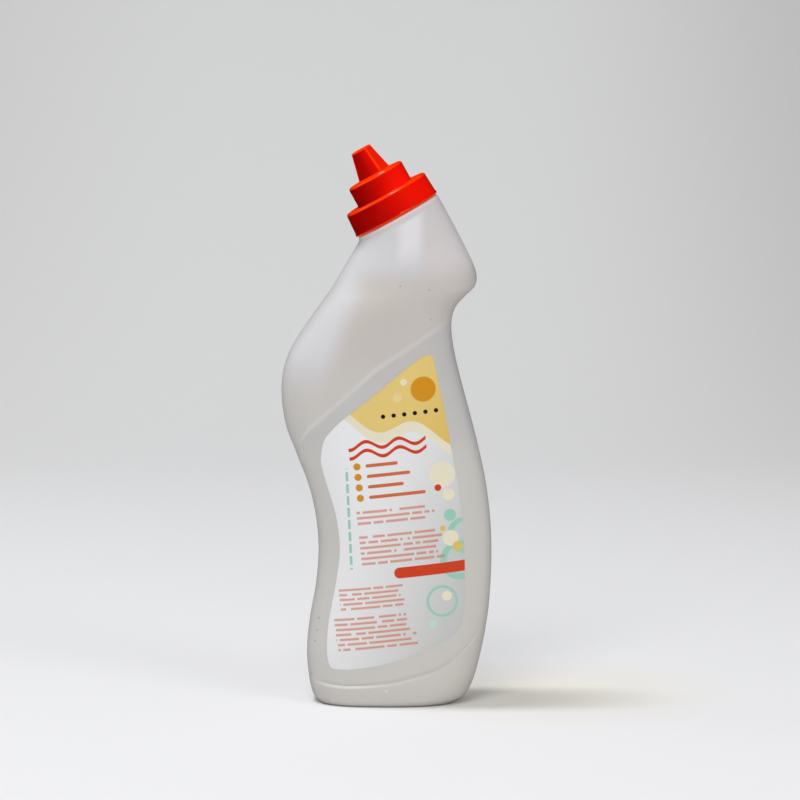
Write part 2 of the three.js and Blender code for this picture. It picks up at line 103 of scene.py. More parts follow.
# Nozzle insert and foam ring
FLANGE = 1.2
FLANGE_SET_IN = 0.2
FLANGE_ROUND = 0.3
PLUG_DEPTH = 7
PLUG_WALL = 1.2
PLUG_LEAD = 1
PLUG_LEAD_IN = 0.5
SPOUT_FOOT_RADIUS = 6
SPOUT_FILLET = 1.5
SPOUT_TIP_RADIUS = 2.6
SPOUT_TIP_ROUND = 0.4
SPOUT_BORE = 1.6
RING_THICKNESS = 1
RING_HOLE_RADIUS = 15.4

# Cap
CAP_WALL = 1.5
CAP_RIM_RADIUS = 24.35
CAP_RIM_ROUND = 0.35
CAP_SKIRT_TOP_RADIUS = 23.4
CAP_BEAD = 1.3
CAP_BEAD_STEP = 0.2
CAP_BEAD_ROUND = 0.3
CAP_CHAMFER = 1.5
CAP_FILLET = 0.5
CAP_THREAD_RADIUS = NECK_RADIUS + THREAD_DEPTH + FIT + 0.1
CAP_THREAD_START = NECK_THREAD_START - THREAD_PITCH / 2
CAP_THREAD_FROM = 0.42
CAP_THREAD_TURNS = 1
CAP_THREAD_FOOT = 0.4
MIDDLE_RADIUS = 15.8
MIDDLE_HEIGHT = 11.4
TOP_HEIGHT = 15.4
TOP_FOOT_WIDTH = 14.8
TOP_TIP_WIDTH = 9.2
TOP_CORNER = 1.8
TOP_FILLET = 0.9
TOP_ROUND = 0.9
TOP_TURN = math.radians(-20)
HOLLOW_CORNER = 1.2
PIN_RADIUS = 1.2
PIN_DEPTH = 3
PIN_TIP_ROUND = 0.4
FLANGE_TOP = LAND_HEIGHT + FIT + FLANGE
RING_TOP = FLANGE_TOP + FIT + RING_THICKNESS
CAP_INNER_TOP = RING_TOP + FIT
CAP_STEP = CAP_INNER_TOP + CAP_WALL
MIDDLE_TOP = CAP_STEP + MIDDLE_HEIGHT
CAP_TOP = MIDDLE_TOP + TOP_HEIGHT
CAVITY_TOP = CAP_TOP - CAP_WALL * 1.4
SPOUT_TIP = CAVITY_TOP - 1.4

# Label and contents
LABEL_THICKNESS = 0.15
LABEL_LIFT = 0.03
GEL_LEVEL = 225
GEL_GAP = 0.3
LABEL_LEFT = [
    (-20, 20.2), (-28.5, 20.5), (-31, 25), (-31.4, 34), (-30.3, 47), (-26.5, 67), (-24.6, 84),
    (-26.4, 101), (-31, 117), (-33.6, 126), (-34.5, 132.5), (-32.8, 142), (-28.4, 147.9),
    (-22.4, 153.8), (-9, 164.2), (7.1, 177.8), (16, 184.4), (20.9, 187.1), (23, 187.5),
]
LABEL_RIGHT = [
    (-20, 20.2), (-6, 22.2), (10, 26.6), (25, 32.6), (35.5, 38.4), (40.3, 46), (41.5, 64),
    (41, 88), (38.7, 112), (34.6, 136), (30.2, 160), (27, 175), (25.1, 183.6), (24.4, 186.4),
    (23, 187.5),
]

# Fineness of the meshes
OUTLINE_STEPS = 3000
BODY_AROUND = 208
ROUND = 192
ROW_STEP = 1.3
FINE_ROW_STEP = 0.6
FINE_ROWS_TO = 62
THREAD_ROW = 0.2
GEL_ROW = 3
INSIDE_EVERY = 4
DOME_SHARES = np.linspace(0.12, 1, 9)
INNER_DOME_SHARES = (0.3, 0.6, 1)
LABEL_COLUMNS = 64
LABEL_ROWS = 170


def mix(a, b, t):
    return a + (b - a) * t


def smoothstep(x, low, high):
    t = np.clip((x - low) / (high - low), 0, 1)
    return t * t * (3 - 2 * t)


def spline(points, count):
    """Points along the uniform Catmull-Rom curve through a few points."""
    p = np.array(points, float)
    last = len(p) - 1
    t = np.linspace(0, last, count + 1)
    i = np.minimum(t.astype(int), last - 1)
    w = (t - i)[:, None]
    before = p[np.maximum(i - 1, 0)]
    a = p[i]
    b = p[i + 1]
    after = p[np.minimum(i + 2, last)]
    va = (b - before) / 2
    vb = (after - a) / 2
    return (2 * a - 2 * b + va + vb) * w**3 + (-3 * a + 3 * b - 2 * va - vb) * w**2 + va * w + a


def profile(pairs, z):
    """A smooth value by height from a few (height, value) pairs."""
    heights = np.array([pair[0] for pair in pairs], float)
    values = np.array([pair[1] for pair in pairs], float)
    z = min(max(z, heights[0]), heights[-1])
    i = min(int(np.searchsorted(heights, z, "right")) - 1, len(pairs) - 2)
    t = (z - heights[i]) / (heights[i + 1] - heights[i])
    return mix(values[i], values[i + 1], t * t * (3 - 2 * t))


neck_axis = np.array((-math.sin(NECK_TILT), math.cos(NECK_TILT)))
neck_across = np.array((math.cos(NECK_TILT), math.sin(NECK_TILT)))


def on_neck(along, across=0.0):
    return RIM_CENTRE + neck_axis * along + neck_across * across


SHOULDER_ROW = SHOULDER_TOP - SHOULDER_ROUND
shoulder_left = tuple(on_neck(SHOULDER_ROW, -SHOULDER_RADIUS))
shoulder_right = tuple(on_neck(SHOULDER_ROW, SHOULDER_RADIUS))
left_outline = spline(LEFT_OUTLINE + [shoulder_left], OUTLINE_STEPS)
right_outline = spline(RIGHT_OUTLINE + [shoulder_right], OUTLINE_STEPS)
shoulder_centre = on_neck(SHOULDER_ROW)
pivot = shoulder_centre - neck_across * (shoulder_centre[1] - FAN_HEIGHT) / math.sin(NECK_TILT)

# The solids are centred on the part's box, so the shapes here move across by as much.
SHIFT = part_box("bottle")[1][0] / MM - right_outline[:, 0].max()


def crossing(outline, through, angle):
    """Where a fine outline crosses the line through a point at an angle above the horizontal."""
    rise = (outline[:, 1] - through[1]) * math.cos(angle)
    side = rise - (outline[:, 0] - through[0]) * math.sin(angle)
    hits = np.nonzero((side[:-1] <= 0) & (side[1:] >= 0))[0]
    if len(hits) == 0:
        return outline[0] if side[0] > 0 else outline[-1]
    i = hits[0]
    span = side[i] - side[i + 1]
    return mix(outline[i], outline[i + 1], side[i] / span if span else 0.0)


def section_on(through, angle):
    """One section of the bottle: its middle, tilt, half width, half depth and squareness."""
    left = crossing(left_outline, through, angle)
    right = crossing(right_outline, through, angle)
    middle = (left + right) / 2
    swing = smoothstep(angle / NECK_TILT, 0, 1)
    foot = min(max(1 - middle[1] / FOOT_ROUND, 0), 1)
    foot_inset = FOOT_ROUND * (1 - math.sqrt(1 - foot * foot))
    depth = mix(profile(HALF_DEPTHS, middle[1]), SHOULDER_RADIUS, swing) - foot_inset
    square = mix(profile(SQUARENESS, middle[1]), 2, swing)
    half = np.linalg.norm(right - left) / 2
    return {"middle": middle, "angle": angle, "half": half, "depth": depth, "square": square}


def level_section(z):
    return section_on(np.array((0.0, z)), 0.0)


def section_through(point):
    if point[1] <= FAN_HEIGHT:
        return section_on(point, 0.0)
    return section_on(pivot, math.atan2(point[1] - pivot[1], point[0] - pivot[0]))


def sections_up():
    """Sections up the bottle by distance along its right outline, closer together at the foot."""
    steps = np.linalg.norm(np.diff(right_outline, axis=0), axis=1)
    run = np.concatenate(([0], np.cumsum(steps)))
    fine = np.arange(0, FINE_ROWS_TO, FINE_ROW_STEP)
    rows = []
    for distance in (*fine, *np.arange(FINE_ROWS_TO, run[-1] - ROW_STEP / 2, ROW_STEP)):
        i = min(int(np.searchsorted(run, distance)), len(right_outline) - 1)
        rows.append(section_through(right_outline[i]))
    rows.append(section_on(pivot, NECK_TILT))
    return rows


def edge_height(edge, x):
    fine = spline(edge, 120)
    return np.interp(x, fine[:, 0], fine[:, 1])


def recess_at(x, z, across):
    """How deep the label panel is sunk at places on the front or back."""
    below = smoothstep(edge_height(PANEL_TOP, x) - z, 0, PANEL_STEP)
    over_foot = z - edge_height(PANEL_FOOT, x)
    above = smoothstep(over_foot, 0, PANEL_FOOT_STEP)
    inside = 1 - smoothstep(np.abs(across), 0.8, 1)
    groove = GROOVE_DEPTH * np.exp(-(((over_foot - PANEL_FOOT_STEP) / GROOVE_WIDTH) ** 2))
    return (PANEL_RECESS * below * above + groove) * inside


def power(value, exponent):
    return np.sign(value) * np.abs(value) ** exponent


def ring_of(row, inset=0.0, count=BODY_AROUND):
    """A closed ring of points round one section, drawn in by an inset."""
    turn = np.linspace(0, 2 * math.pi, count, endpoint=False)
    across = power(np.cos(turn), 2 / row["square"])
    deep = power(np.sin(turn), 2 / row["square"])
    u = across * (row["half"] - inset)
    x = row["middle"][0] + u * math.cos(row["angle"])
    z = row["middle"][1] + u * math.sin(row["angle"])
    sunk = recess_at(x, z, across) * np.abs(deep) ** 0.5
    y = deep * (row["depth"] - inset) - np.sign(deep) * sunk
    return np.stack((x, y, z), axis=1)


def base_ring(row, inset, middle_x, share, foot):
    """A ring of the domed base, a share of the way from the middle out to a section's ring."""
    ring = mix(np.array((middle_x, 0, 0)), ring_of(row, inset), share)
    ring[:, 2] = foot + PUSH_UP * (1 - smoothstep(share, DOME_FLAT, 1))
    return ring


def neck_ring(radius, along, count=BODY_AROUND):
    """A ring on the neck. The radius may be an array, one value a point."""
    turn = np.linspace(0, 2 * math.pi, count, endpoint=False)
    across = radius * np.cos(turn)
    x = RIM_CENTRE[0] + neck_axis[0] * along + neck_across[0] * across
    z = RIM_CENTRE[1] + neck_axis[1] * along + neck_across[1] * across
    return np.stack((x, radius * np.sin(turn) + 0 * x, z), axis=1)


def arc(centre, radius, start, end, steps):
    """Points [r, h] on an arc, with angles in degrees from the outward direction."""
    angles = np.radians(np.linspace(start, end, steps + 1))
    return [(centre[0] + radius * math.cos(a), centre[1] + radius * math.sin(a)) for a in angles]


def add_mesh(name, points, faces, smooth_angle):
    """An object from points in millimetres, smooth where its faces meet within an angle."""
    mesh = bpy.data.meshes.new(name)
    mesh.from_pydata(((points + (SHIFT, 0, 0)) * MM).tolist(), [], faces)
    mesh.update()
    mesh.shade_smooth()
    mesh.set_sharp_from_angle(angle=math.radians(smooth_angle))
    obj = bpy.data.objects.new(name, mesh)
    bpy.context.scene.collection.objects.link(obj)
    return obj


def loft(name, rings, first, last, smooth_angle):
    """A closed mesh from rings of equal count, ending in a point at each end."""
    count = len(rings[0])
    points = np.vstack([np.array([first]), *rings, np.array([last])])
    ring = np.arange(count)
    after = (ring + 1) % count
    faces = [(0, 1 + b, 1 + a) for a, b in zip(ring, after)]
    for level in range(len(rings) - 1):
        low = 1 + level * count
        high = low + count
        faces += [(low + a, low + b, high + b, high + a) for a, b in zip(ring, after)]
    top = 1 + (len(rings) - 1) * count
    faces += [(top + a, top + b, len(points) - 1) for a, b in zip(ring, after)]
    return add_mesh(name, points, faces, smooth_angle)


def turned(name, points):
    """A body of revolution about the neck's axis from closed [radius, height] points."""
    rings = [neck_ring(radius, along, ROUND) for radius, along in points]
    faces = []
    ring = np.arange(ROUND)
    after = (ring + 1) % ROUND
    for level in range(len(rings)):
        low = level * ROUND
        high = ((level + 1) % len(rings)) * ROUND
        faces += [(low + a, low + b, high + b, high + a) for a, b in zip(ring, after)]
    return add_mesh(name, np.vstack(rings), faces, 35)


def thread_bulge(along, turn_count, start, first_turn, turns):
    """How far one helical ridge stands out at each point of a ring, from 0 to 1."""
    turn = np.linspace(0, 1, turn_count, endpoint=False)
    bulge = np.zeros(turn_count)
    for lap in range(-1, 4):
        at = turn + lap
        inside = smoothstep(at, first_turn - 0.01, first_turn + 0.07)
        inside *= 1 - smoothstep(at, first_turn + turns - 0.07, first_turn + turns + 0.01)
        distance = np.abs(along - (start + THREAD_PITCH * at))
        ridge = 1 - smoothstep(distance, THREAD_WIDTH * 0.2, THREAD_WIDTH * 0.55)
        bulge = np.maximum(bulge, ridge * inside)
    return bulge


def neck_rings():
    """Rings from the round of the shoulder up the threaded neck and down through its bore."""
    points = []
    for angle in np.radians(np.linspace(0, 90, 9)[1:]):
        radius = SHOULDER_RADIUS - SHOULDER_ROUND * (1 - math.cos(angle))
        points.append((radius, SHOULDER_ROW + (SHOULDER_ROUND + SHOULDER_LIP) * math.sin(angle)))
    root_top = SHOULDER_TOP + SHOULDER_LIP + NECK_ROOT
    points += arc((NECK_RADIUS + NECK_ROOT, root_top), NECK_ROOT, 270, 180, 4)
    chamfer_foot = LAND_HEIGHT - LAND_CHAMFER
    for along in np.arange(root_top + THREAD_ROW, chamfer_foot, THREAD_ROW):
        bulge = thread_bulge(along, BODY_AROUND, NECK_THREAD_START, 0, NECK_THREAD_TURNS)
        points.append((NECK_RADIUS + THREAD_DEPTH * bulge, along))
    points += arc((NECK_RADIUS - LAND_CHAMFER, chamfer_foot), LAND_CHAMFER, 0, 90, 5)
    points += arc((NECK_BORE_RADIUS + LAND_CHAMFER, chamfer_foot), LAND_CHAMFER, 90, 180, 4)
    points.append((NECK_BORE_RADIUS, SHOULDER_TOP - WALL))
    points.append((SHOULDER_RADIUS - WALL - SHOULDER_ROUND, SHOULDER_TOP - WALL))
    return [neck_ring(radius, along) for radius, along in points]


def bottle_mesh():
    """The blown shell: outside from the base's middle to the land, then back down inside."""
    rows = sections_up()
    middle_x = rows[0]["middle"][0]
    rings = [base_ring(rows[0], FOOT_LAND, middle_x, share, 0) for share in DOME_SHARES]
    rings.append(ring_of(rows[0], FOOT_LAND / 2))
    rings += [ring_of(row) for row in rows]
    rings += neck_rings()
    inner_rows = [row for row in rows if row["middle"][1] > FOOT_LAND][::-INSIDE_EVERY]
    rings += [ring_of(row, WALL) for row in inner_rows]
    floor = level_section(BASE_WALL)
    rings.append(ring_of(floor, WALL + 1))
    for share in INNER_DOME_SHARES[::-1]:
        rings.append(base_ring(floor, FOOT_LAND + WALL, middle_x, share, BASE_WALL))
    first = (middle_x, 0, PUSH_UP)
    last = (middle_x, 0, PUSH_UP + BASE_WALL)
    return loft("bottle_shell", rings, first, last, 50)


def gel_mesh():
    """The contents, up to the fill level."""
    inset = WALL + GEL_GAP
    floor = BASE_WALL + GEL_GAP
    side_inset = inset + 0.4
    low = level_section(floor)
    middle_x = low["middle"][0]
    rings = []
    for share in INNER_DOME_SHARES:
        rings.append(base_ring(low, FOOT_LAND + inset, middle_x, share, floor))
    rings.append(ring_of(low, inset + 1))
    for z in np.arange(FOOT_LAND, GEL_LEVEL, GEL_ROW):
        rings.append(ring_of(level_section(z), side_inset))
    top = level_section(GEL_LEVEL)
    rings.append(ring_of(top, side_inset))
    first = (middle_x, 0, floor + PUSH_UP)
    last = (top["middle"][0], 0, GEL_LEVEL)
    return loft("gel_fill", rings, first, last, 40)


def insert_mesh():
    """The soft plug in the neck: skirt, flange and dosing spout."""
    plug = NECK_BORE_RADIUS - FIT
    foot = LAND_HEIGHT - PLUG_DEPTH
    flange_foot = LAND_HEIGHT + FIT
    flange_round = NECK_RADIUS - FLANGE_SET_IN - FLANGE_ROUND
    inner_foot = SPOUT_FOOT_RADIUS - PLUG_WALL
    fillet = (SPOUT_FOOT_RADIUS + SPOUT_FILLET, FLANGE_TOP + SPOUT_FILLET)
    tip = (SPOUT_TIP_RADIUS - SPOUT_TIP_ROUND, SPOUT_TIP - SPOUT_TIP_ROUND)
    points = [(inner_foot, flange_foot), (plug - PLUG_WALL, flange_foot), (plug - PLUG_WALL, foot)]
    points += [(plug - PLUG_LEAD_IN, foot), (plug, foot + PLUG_LEAD), (plug, flange_foot)]
    points += arc((flange_round, flange_foot + FLANGE_ROUND), FLANGE_ROUND, -90, 0, 3)
    points += arc((flange_round, FLANGE_TOP - FLANGE_ROUND), FLANGE_ROUND, 0, 90, 3)
    points += arc(fillet, SPOUT_FILLET, 270, 190, 6)
    points += [(SPOUT_TIP_RADIUS + 0.5, SPOUT_TIP - 2)]
    points += arc(tip, SPOUT_TIP_ROUND, 0, 90, 3)
    points += [(SPOUT_BORE, SPOUT_TIP), (SPOUT_BORE, SPOUT_TIP - PIN_DEPTH * 2)]
    return turned("dosing_insert", points)


def ring_mesh():
    """The foam seal under the cap's wide step."""
    foot = FLANGE_TOP + FIT
    outer = CAP_THREAD_RADIUS - FIT
    points = [(RING_HOLE_RADIUS, foot), (outer, foot), (outer, RING_TOP), (RING_HOLE_RADIUS, RING_TOP)]
    return turned("foam_seal", points)


def square_radius(half, corner, count=ROUND):
    """Distance from the axis to a square with round corners, at each point of a ring."""
    turn = np.linspace(0, 2 * math.pi, count, endpoint=False) - TOP_TURN
    c = np.maximum(np.abs(np.cos(turn)), np.abs(np.sin(turn)))
    s = np.minimum(np.abs(np.cos(turn)), np.abs(np.sin(turn)))
    reach = half - corner
    inside = reach**2 * (c + s) ** 2 - 2 * reach**2 + corner**2
    rounded = reach * (c + s) + np.sqrt(np.maximum(inside, 0))
    return np.where(s / c <= reach / half, half / c, rounded)


def top_half_width(along):
    return mix(TOP_FOOT_WIDTH, TOP_TIP_WIDTH, (along - MIDDLE_TOP) / TOP_HEIGHT) / 2


def hollow_radius(along):
    return square_radius(top_half_width(along) - CAP_WALL, HOLLOW_CORNER)


def skirt_radius(along):
    return mix(CAP_RIM_RADIUS - CAP_BEAD_STEP, CAP_SKIRT_TOP_RADIUS, along / CAP_STEP)


def cap_inside():
    """Radius and height from the pin's tip, round the hollows and down the thread."""
    pin_tip = SPOUT_TIP - PIN_DEPTH
    ceiling = MIDDLE_TOP - CAP_WALL
    points = [
        (PIN_RADIUS * 0.6, pin_tip),
        (PIN_RADIUS, pin_tip + PIN_TIP_ROUND),
        (PIN_RADIUS, CAVITY_TOP),
        (hollow_radius(CAVITY_TOP), CAVITY_TOP),
        (hollow_radius(ceiling), ceiling),
        (MIDDLE_RADIUS - CAP_WALL, ceiling),
        (MIDDLE_RADIUS - CAP_WALL, CAP_INNER_TOP),
        (CAP_THREAD_RADIUS, CAP_INNER_TOP),
    ]
    for along in np.arange(CAP_INNER_TOP - THREAD_ROW, CAP_THREAD_FOOT, -THREAD_ROW):
        bulge = thread_bulge(along, ROUND, CAP_THREAD_START, CAP_THREAD_FROM, CAP_THREAD_TURNS)
        points.append((CAP_THREAD_RADIUS - THREAD_DEPTH * bulge, along))
    return points


def cap_steps():
    """Radius and height round the rim, up the skirt and over the wide and the middle step."""
    points = arc((CAP_THREAD_RADIUS + CAP_RIM_ROUND, CAP_RIM_ROUND), CAP_RIM_ROUND, 180, 270, 4)
    points += arc((CAP_RIM_RADIUS - CAP_RIM_ROUND, CAP_RIM_ROUND), CAP_RIM_ROUND, -90, 0, 4)
    bead = (CAP_RIM_RADIUS - CAP_BEAD_ROUND, CAP_BEAD - CAP_BEAD_ROUND)
    points += arc(bead, CAP_BEAD_ROUND, 0, 80, 4)
    skirt_top = CAP_STEP - CAP_CHAMFER
    for along in np.linspace(CAP_BEAD + CAP_BEAD_STEP, skirt_top, 6):
        points.append((skirt_radius(along), along))
    points += arc((skirt_radius(skirt_top) - CAP_CHAMFER, skirt_top), CAP_CHAMFER, 8, 90, 8)
    points += arc((MIDDLE_RADIUS + CAP_FILLET, CAP_STEP + CAP_FILLET), CAP_FILLET, 270, 180, 4)
    points += arc((MIDDLE_RADIUS - CAP_CHAMFER, MIDDLE_TOP - CAP_CHAMFER), CAP_CHAMFER, 0, 90, 8)
    return points


def cap_top():
    """Radius and height up the tapered square top, from its fillet to its flat end."""
    points = []
    for angle in np.radians(np.linspace(270, 180, 6)):
        out = TOP_FILLET * (1 + math.cos(angle))
        along = MIDDLE_TOP + TOP_FILLET * (1 + math.sin(angle))
        points.append((square_radius(top_half_width(along) + out, TOP_CORNER + out * 0.6), along))
    for along in np.linspace(MIDDLE_TOP + TOP_FILLET + 1, CAP_TOP - TOP_ROUND, 8):
        points.append((square_radius(top_half_width(along), TOP_CORNER), along))
    for angle in np.radians(np.linspace(15, 90, 6)):
        along = CAP_TOP - TOP_ROUND * (1 - math.sin(angle))
        half = top_half_width(CAP_TOP - TOP_ROUND) - TOP_ROUND * (1 - math.cos(angle))
        points.append((square_radius(half, TOP_CORNER * 0.9), along))
    points.append((square_radius(top_half_width(CAP_TOP) * 0.4, TOP_CORNER * 0.4), CAP_TOP))
    return points


def cap_mesh():
    """The one-piece cap: from the pin's tip through the inside, round the rim and up the outside."""
    points = cap_inside() + cap_steps() + cap_top()
    rings = [neck_ring(radius, along, ROUND) for radius, along in points]
    low = on_neck(points[0][1])
    high = on_neck(CAP_TOP)
    return loft("screw_cap", rings, (low[0], 0, low[1]), (high[0], 0, high[1]), 40)


def front_at(x, z):
    """Front face of the bottle at places of one height, as the y of its surface."""
    row = level_section(z)
    across = np.clip((x - row["middle"][0]) / row["half"], -1, 1)
    deep = (1 - np.abs(across) ** row["square"]) ** (1 / row["square"])
    return -(deep * row["depth"] - recess_at(x, z, across) * np.sqrt(deep))


def label_mesh():
    """The label: a thin skin on the front of the bottle, inside its own outline."""
    left = spline(LABEL_LEFT, 2000)
    right = spline(LABEL_RIGHT, 2000)
    bottom = left[:, 1].min()
    top = min(left[-1, 1], right[-1, 1])
    rings = []
    for share in (1 - np.cos(np.linspace(0.02, math.pi - 0.02, LABEL_ROWS))) / 2:
        z = mix(bottom, top, share)
        at = np.array((0.0, z))
        x = np.linspace(crossing(left, at, 0.0)[0], crossing(right, at, 0.0)[0], LABEL_COLUMNS + 1)
        face = np.stack((x, front_at(x, z) - LABEL_LIFT, np.full_like(x, z)), axis=1)
        outer = face - np.array((0, LABEL_THICKNESS, 0))
        rings.append(np.vstack((outer, face[::-1])))
    return loft("label_film", rings, rings[0].mean(axis=0), rings[-1].mean(axis=0), 60)


def material(name):
    mat = bpy.data.materials.new(name)
    mat.use_nodes = True
    mat.node_tree.nodes.clear()
    out = mat.node_tree.nodes.new("ShaderNodeOutputMaterial")
    shader = mat.node_tree.nodes.new("ShaderNodeBsdfPrincipled")
    mat.node_tree.links.new(shader.outputs["BSDF"], out.inputs["Surface"])
    return mat, shader


# Places of the colour sockets on a colour Mix node
MIX_A = 6
MIX_B = 7
MIX_RESULT = 2


class Nodes:
    """Short calls for building one material's node tree. Its x, y and z are in millimetres."""

    def __init__(self, mat):
        self.tree = mat.node_tree
        self.place = self.new("ShaderNodeTexCoord").outputs["Object"]
        split = self.new("ShaderNodeSeparateXYZ")
        self.link(self.place, split.inputs[0])
        self.x, self.y, self.z = (self.math("MULTIPLY", axis, 1 / MM) for axis in split.outputs)

    def new(self, kind):
        return self.tree.nodes.new(kind)

    def link(self, source, target):
        self.tree.links.new(source, target)

    def plug(self, value, socket):
        if hasattr(value, "links"):
            self.link(value, socket)
        else:
            socket.default_value = value

    def math(self, operation, *values):
        node = self.new("ShaderNodeMath")
        node.operation = operation
        for value, socket in zip(values, node.inputs):
            self.plug(value, socket)
        return node.outputs[0]

    def sum(self, *terms):
        """A sum of weighted values, each term a (value, weight) pair."""
        total = 0.0
        for value, weight in terms:
            total = self.math("MULTIPLY_ADD", value, weight, total)
        return total

    def span(self, value, low, high, start=0.0, end=1.0):
        """A smooth step of a value from one level to another."""
        node = self.new("ShaderNodeMapRange")
        node.interpolation_type = "SMOOTHSTEP"
        for item, socket in zip((value, low, high, start, end), node.inputs):
            self.plug(item, socket)
        return node.outputs[0]

    def noise(self, scale, detail=2.0):
        node = self.new("ShaderNodeTexNoise")
        self.link(self.place, node.inputs["Vector"])
        node.inputs["Scale"].default_value = scale
        node.inputs["Detail"].default_value = detail
        return node.outputs["Fac"]

    def mix(self, share, a, b):
        node = self.new("ShaderNodeMix")
        node.data_type = "RGBA"
        self.plug(share, node.inputs["Factor"])
        self.plug(a, node.inputs[MIX_A])
        self.plug(b, node.inputs[MIX_B])
        return node.outputs[MIX_RESULT]

    def over(self, tone, mask, colour, strength=1.0):
        """A tone with a colour laid over it where a mask is."""
        if strength < 1:
            mask = self.math("MULTIPLY", mask, strength)
        return self.mix(mask, tone, colour)

    def bump(self, height, distance, strength=1.0, normal=None):
        node = self.new("ShaderNodeBump")
        node.inputs["Distance"].default_value = distance
        node.inputs["Strength"].default_value = strength
        self.link(height, node.inputs["Height"])
        if normal is not None:
            self.link(normal, node.inputs["Normal"])
        return node.outputs["Normal"]

    def within(self, value, low, high, soft=0.15):
        """One between two levels, zero outside."""
        off = self.math("ABSOLUTE", self.math("SUBTRACT", value, (low + high) / 2))
        return self.span(off, (high - low) / 2 + soft, (high - low) / 2 - soft)

    def both(self, a, b):
        return self.math("MULTIPLY", a, b)

    def either(self, a, b):
        return self.math("MAXIMUM", a, b)

    def disc(self, u, v, centre, radius, soft=0.15):
        du = self.math("SUBTRACT", u, centre[0])
        dv = self.math("SUBTRACT", v, centre[1])
        away = self.math("SQRT", self.sum((self.both(du, du), 1), (self.both(dv, dv), 1)))
        return self.span(away, radius + soft, radius - soft)

    def bar(self, u, v, u_range, v_range, soft=0.15):
        """A straight bar with round ends."""
        radius = (v_range[1] - v_range[0]) / 2
        reach = (u_range[1] - u_range[0]) / 2 - radius
        du = self.math("ABSOLUTE", self.math("SUBTRACT", u, (u_range[0] + u_range[1]) / 2))
        du = self.math("MAXIMUM", self.math("SUBTRACT", du, reach), 0)
        dv = self.math("SUBTRACT", v, (v_range[0] + v_range[1]) / 2)
        away = self.math("SQRT", self.sum((self.both(du, du), 1), (self.both(dv, dv), 1)))
        return self.span(away, radius + soft, radius - soft)

    def chance(self, value, seed):
        """A fixed random number from 0 to 1 for each pair of values."""
        node = self.new("ShaderNodeTexWhiteNoise")
        node.noise_dimensions = "2D"
        pair = self.new("ShaderNodeCombineXYZ")
        self.plug(value, pair.inputs[0])
        self.plug(seed, pair.inputs[1])
        self.link(pair.outputs[0], node.inputs["Vector"])
        return node.outputs["Value"]


def linear(value):
    v = value / 255
    return v / 12.92 if v <= 0.04045 else ((v + 0.055) / 1.055) ** 2.4


def rgb(red, green, blue):
    """A colour from display values of 0 to 255."""
    return (linear(red), linear(green), linear(blue), 1.0)


# The bottle's tones: where the gel or only air is behind the wall, and on its forms, with painted
# reflections, highlights and shade among them
GEL_LOW = rgb(213, 210, 204)
GEL_HIGH = rgb(208, 201, 195)
GEL_CLOUD = rgb(214, 210, 204)
# A pale cool tone for painted light: a reflection in the neck and a highlight on the left shoulder
COOL_SHEEN = rgb(222, 222, 226)
NECK_SHADE = rgb(219, 212, 213)
NECK_GLARE = rgb(250, 244, 248)
COLLAR_WALL_AND_BOUNCE = rgb(246, 226, 224)
PANEL_SHADE = rgb(198, 198, 198)
RIDGE_HIGHLIGHT = rgb(232, 230, 226)
FOOT_SHADE = rgb(200, 195, 191)
DARK_MARK = rgb(120, 112, 108)
LIGHT_MARK = rgb(245, 244, 240)

# The painted line of the panel's upper step: its height at x = 0, its slope, and how much steeper
# it is left of one place and how fast it bends down left of another
STEP_LINE = 183.5
STEP_SLOPE = 0.66
STEEPER_FROM = -6
STEEPER_BY = 0.24
BEND_FROM = -40
BEND_BY = 0.1

# Small marks on the bottle's front, as [x, z, radius]
DARK_SPECKS = [(-36, 46.6, 0.5), (-37, 40, 0.45), (-38, 34.2, 0.5), (-39.8, 16.2, 0.4),
               (7.2, 224, 0.45), (22.6, 222, 0.5), (23.4, 206, 0.35)]
LIGHT_SPECKS = [(-0.2, 9, 0.7), (-23, 12.6, 0.4)]


def neck_tone(n, along):
    """Over the air in the neck: a cool painted reflection on the left, a painted highlight down the
    middle, and pinkish painted shade on the right and just under the rim.
    """
    # Painted reflection: a cool pale field on the left of the neck, below the rim
    left = n.both(n.span(along, -2.8, -4.6), n.span(n.x, 22, 15))
    tone = n.mix(left, NECK_SHADE, COOL_SHEEN)
    # Painted highlight down the middle of the neck
    middle = n.both(n.span(along, -3.5, -5.5), n.span(along, -27, -14))
    return n.over(tone, n.both(n.within(n.x, 7, 18, 3.5), middle), NECK_GLARE, 0.9)


def panel_tone(n, tone):
    """Painted shade greying the sunk panel under its slanting upper step, with a painted highlight along
    the step.
    """
    left = n.math("MAXIMUM", n.math("SUBTRACT", STEEPER_FROM, n.x), 0)
    bend = n.math("MAXIMUM", n.math("SUBTRACT", BEND_FROM, n.x), 0)
    line = n.sum((n.z, 1), (n.x, -STEP_SLOPE), (left, STEEPER_BY), (n.both(bend, bend), BEND_BY))
    # Painted shade in the sunk panel below the step
    panel = n.both(n.span(line, STEP_LINE - 0.5, STEP_LINE - 3.5), n.span(n.z, 130, 150))
    tone = n.over(tone, panel, PANEL_SHADE, 0.5)
    # Painted highlight along the step
    ridge = n.within(line, STEP_LINE - 1.5, STEP_LINE + 1.5, 1.1)
    return n.over(tone, n.both(ridge, n.within(n.x, -44, 30, 6)), RIDGE_HIGHLIGHT, 0.42)


def specks(n, tone, marks, soft, colour, strength):
    """Small round marks on the front."""
    mask = 0.0
    for x, z, radius in marks:
        mask = n.either(mask, n.disc(n.x, n.z, (x, z), radius, soft))
    return n.over(tone, n.both(mask, n.span(n.y, 0, -2)), colour, strength)


